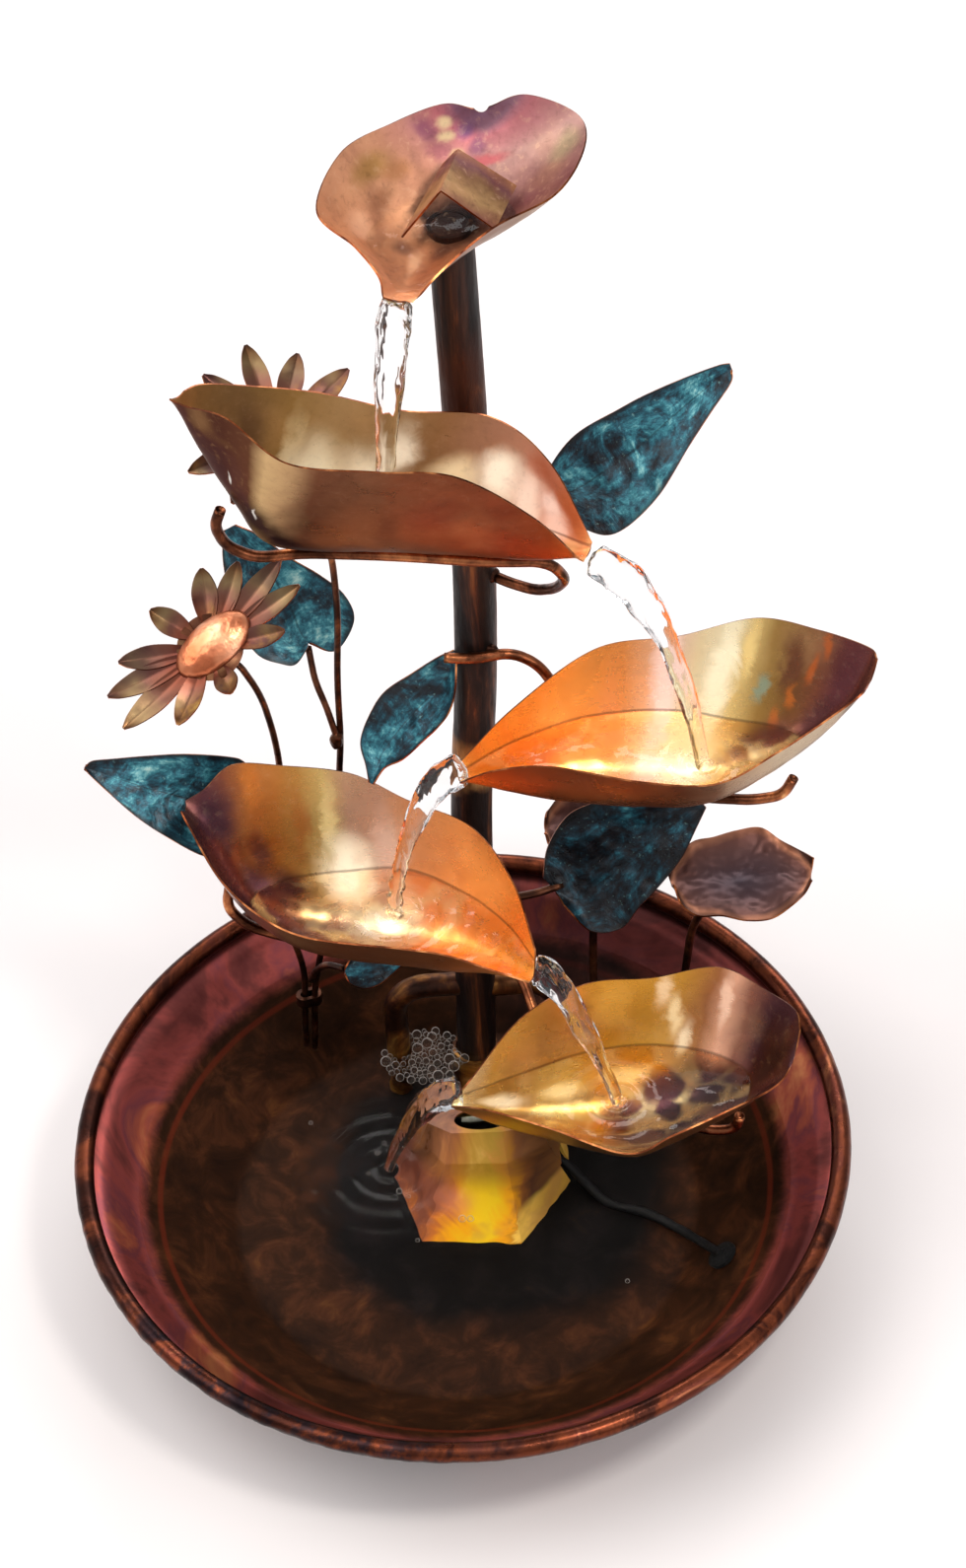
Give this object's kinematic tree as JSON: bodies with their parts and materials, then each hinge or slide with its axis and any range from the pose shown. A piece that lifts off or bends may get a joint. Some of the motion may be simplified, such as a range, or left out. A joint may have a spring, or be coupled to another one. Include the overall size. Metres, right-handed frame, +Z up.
{
  "type": "tabletop water fountain",
  "caption": "Copper tabletop water fountain: boat-shaped cups spill one to the next down a pipe column into a round basin with a submersible pump, among metal leaves and daisies.",
  "frame": {"origin": "centre of the basin's flat underside, on the surface it stands on", "axes": "+Z up along the basin's axis, -Y towards the front, +X to the right seen from the front"},
  "size_m": [0.3145, 0.3431, 0.4848],
  "materials": {
    "bowl_copper": "dark red brown heat patina on spun copper",
    "rim_copper": "worn copper bead with dark patina",
    "column_copper": "dark oxidised copper pipe",
    "leg_copper": "dark oxidised copper tube",
    "brass": "plain brass fitting",
    "clear_vinyl": "clear flexible vinyl",
    "pump_plastic": "black moulded plastic",
    "rotor_magnet": "ferrite magnet with moulded blades",
    "shaft_ceramic": "white ceramic pin",
    "soft_rubber": "soft black rubber",
    "guard_copper": "flame coloured copper, gold to brown",
    "flower_copper": "flame coloured copper, rose and violet",
    "upper_cup_copper": "flame coloured copper, olive gold to pink",
    "right_cup_copper": "flame coloured copper, orange, cream and brown",
    "left_cup_copper": "flame coloured copper, brown, gold and orange",
    "lower_cup_copper": "flame coloured copper, gold to purple brown",
    "rod_copper": "dark copper wire",
    "leaf_patina": "blue green patina over dark copper",
    "stem_copper": "dark copper wire",
    "petal_copper": "heat tinted copper petals",
    "pad_copper": "brown mauve copper",
    "cord_jacket": "black flexible cord",
    "plug_plastic": "black moulded plug",
    "plug_metal": "plated blades"
  },
  "bodies": {
    "root": {"basin": "bowl_copper", "cord_coil": "cord_jacket", "cord_gland": "soft_rubber", "daisy_dome": "petal_copper", "daisy_petals": "petal_copper", "daisy_rear_dome": "petal_copper", "daisy_rear_petals": "petal_copper", "daisy_stem": "stem_copper", "flower_cup": "flower_copper", "flower_hood": "flower_copper", "hose_barb": "brass", "leaf_folded": "leaf_patina", "leaf_left": "leaf_patina", "leaf_left_stem": "stem_copper", "leaf_lower_right": "leaf_patina", "leaf_lower_right_stem": "stem_copper", "leaf_small": "leaf_patina", "leaf_small_stem": "stem_copper", "leaf_upper_left": "leaf_patina", "leaf_upper_left_stem": "stem_copper", "leaf_upper_right": "leaf_patina", "leaf_upper_right_stem": "stem_copper", "left_cup": "left_cup_copper", "left_cup_rod": "rod_copper", "lily_pad_rear": "pad_copper", "lily_pad_rear_stem": "stem_copper", "lily_pad_right": "pad_copper", "lily_pad_right_stem": "stem_copper", "lower_cup": "lower_cup_copper", "lower_cup_rod": "rod_copper", "plug_body": "plug_plastic", "plug_lead": "cord_jacket", "plug_pins": "plug_metal", "power_cord_inner": "cord_jacket", "power_cord_outer": "cord_jacket", "pump_body": "pump_plastic", "pump_cover_plate": "pump_plastic", "pump_feet": "soft_rubber", "pump_shaft": "shaft_ceramic", "right_cup": "right_cup_copper", "right_cup_rod": "rod_copper", "rim_ring": "rim_copper", "riser_elbow": "column_copper", "riser_pipe": "column_copper", "stand_leg_left": "leg_copper", "stand_leg_right": "leg_copper", "stem_tie": "stem_copper", "tall_stem": "stem_copper", "upper_cup": "upper_cup_copper", "upper_cup_rod": "rod_copper", "vinyl_hose": "clear_vinyl", "wall_gland": "soft_rubber"},
    "rotor": {"pump_rotor": "rotor_magnet"},
    "strainer": {"pump_strainer": "pump_plastic"},
    "gate": {"flow_gate": "pump_plastic"},
    "guard": {"pump_guard": "guard_copper"}
  },
  "joints": [
    {"name": "rotor_spin", "type": "hinge", "parent": "root", "child": "rotor", "pos_m": [0.01, 0.02, 0.02], "axis": [1, 0, 0], "continuous": true},
    {"name": "strainer_pull", "type": "slide", "parent": "root", "child": "strainer", "axis": [-1, 0, 0], "range_m": [0, 0.005]},
    {"name": "gate_turn", "type": "hinge", "parent": "strainer", "child": "gate", "pos_m": [-0.009, 0.02, 0.02], "axis": [1, 0, 0], "range_deg": [0, 90]},
    {"name": "guard_lift", "type": "slide", "parent": "root", "child": "guard", "axis": [0, 0, 1], "range_m": [0, 0.025]}
  ]
}
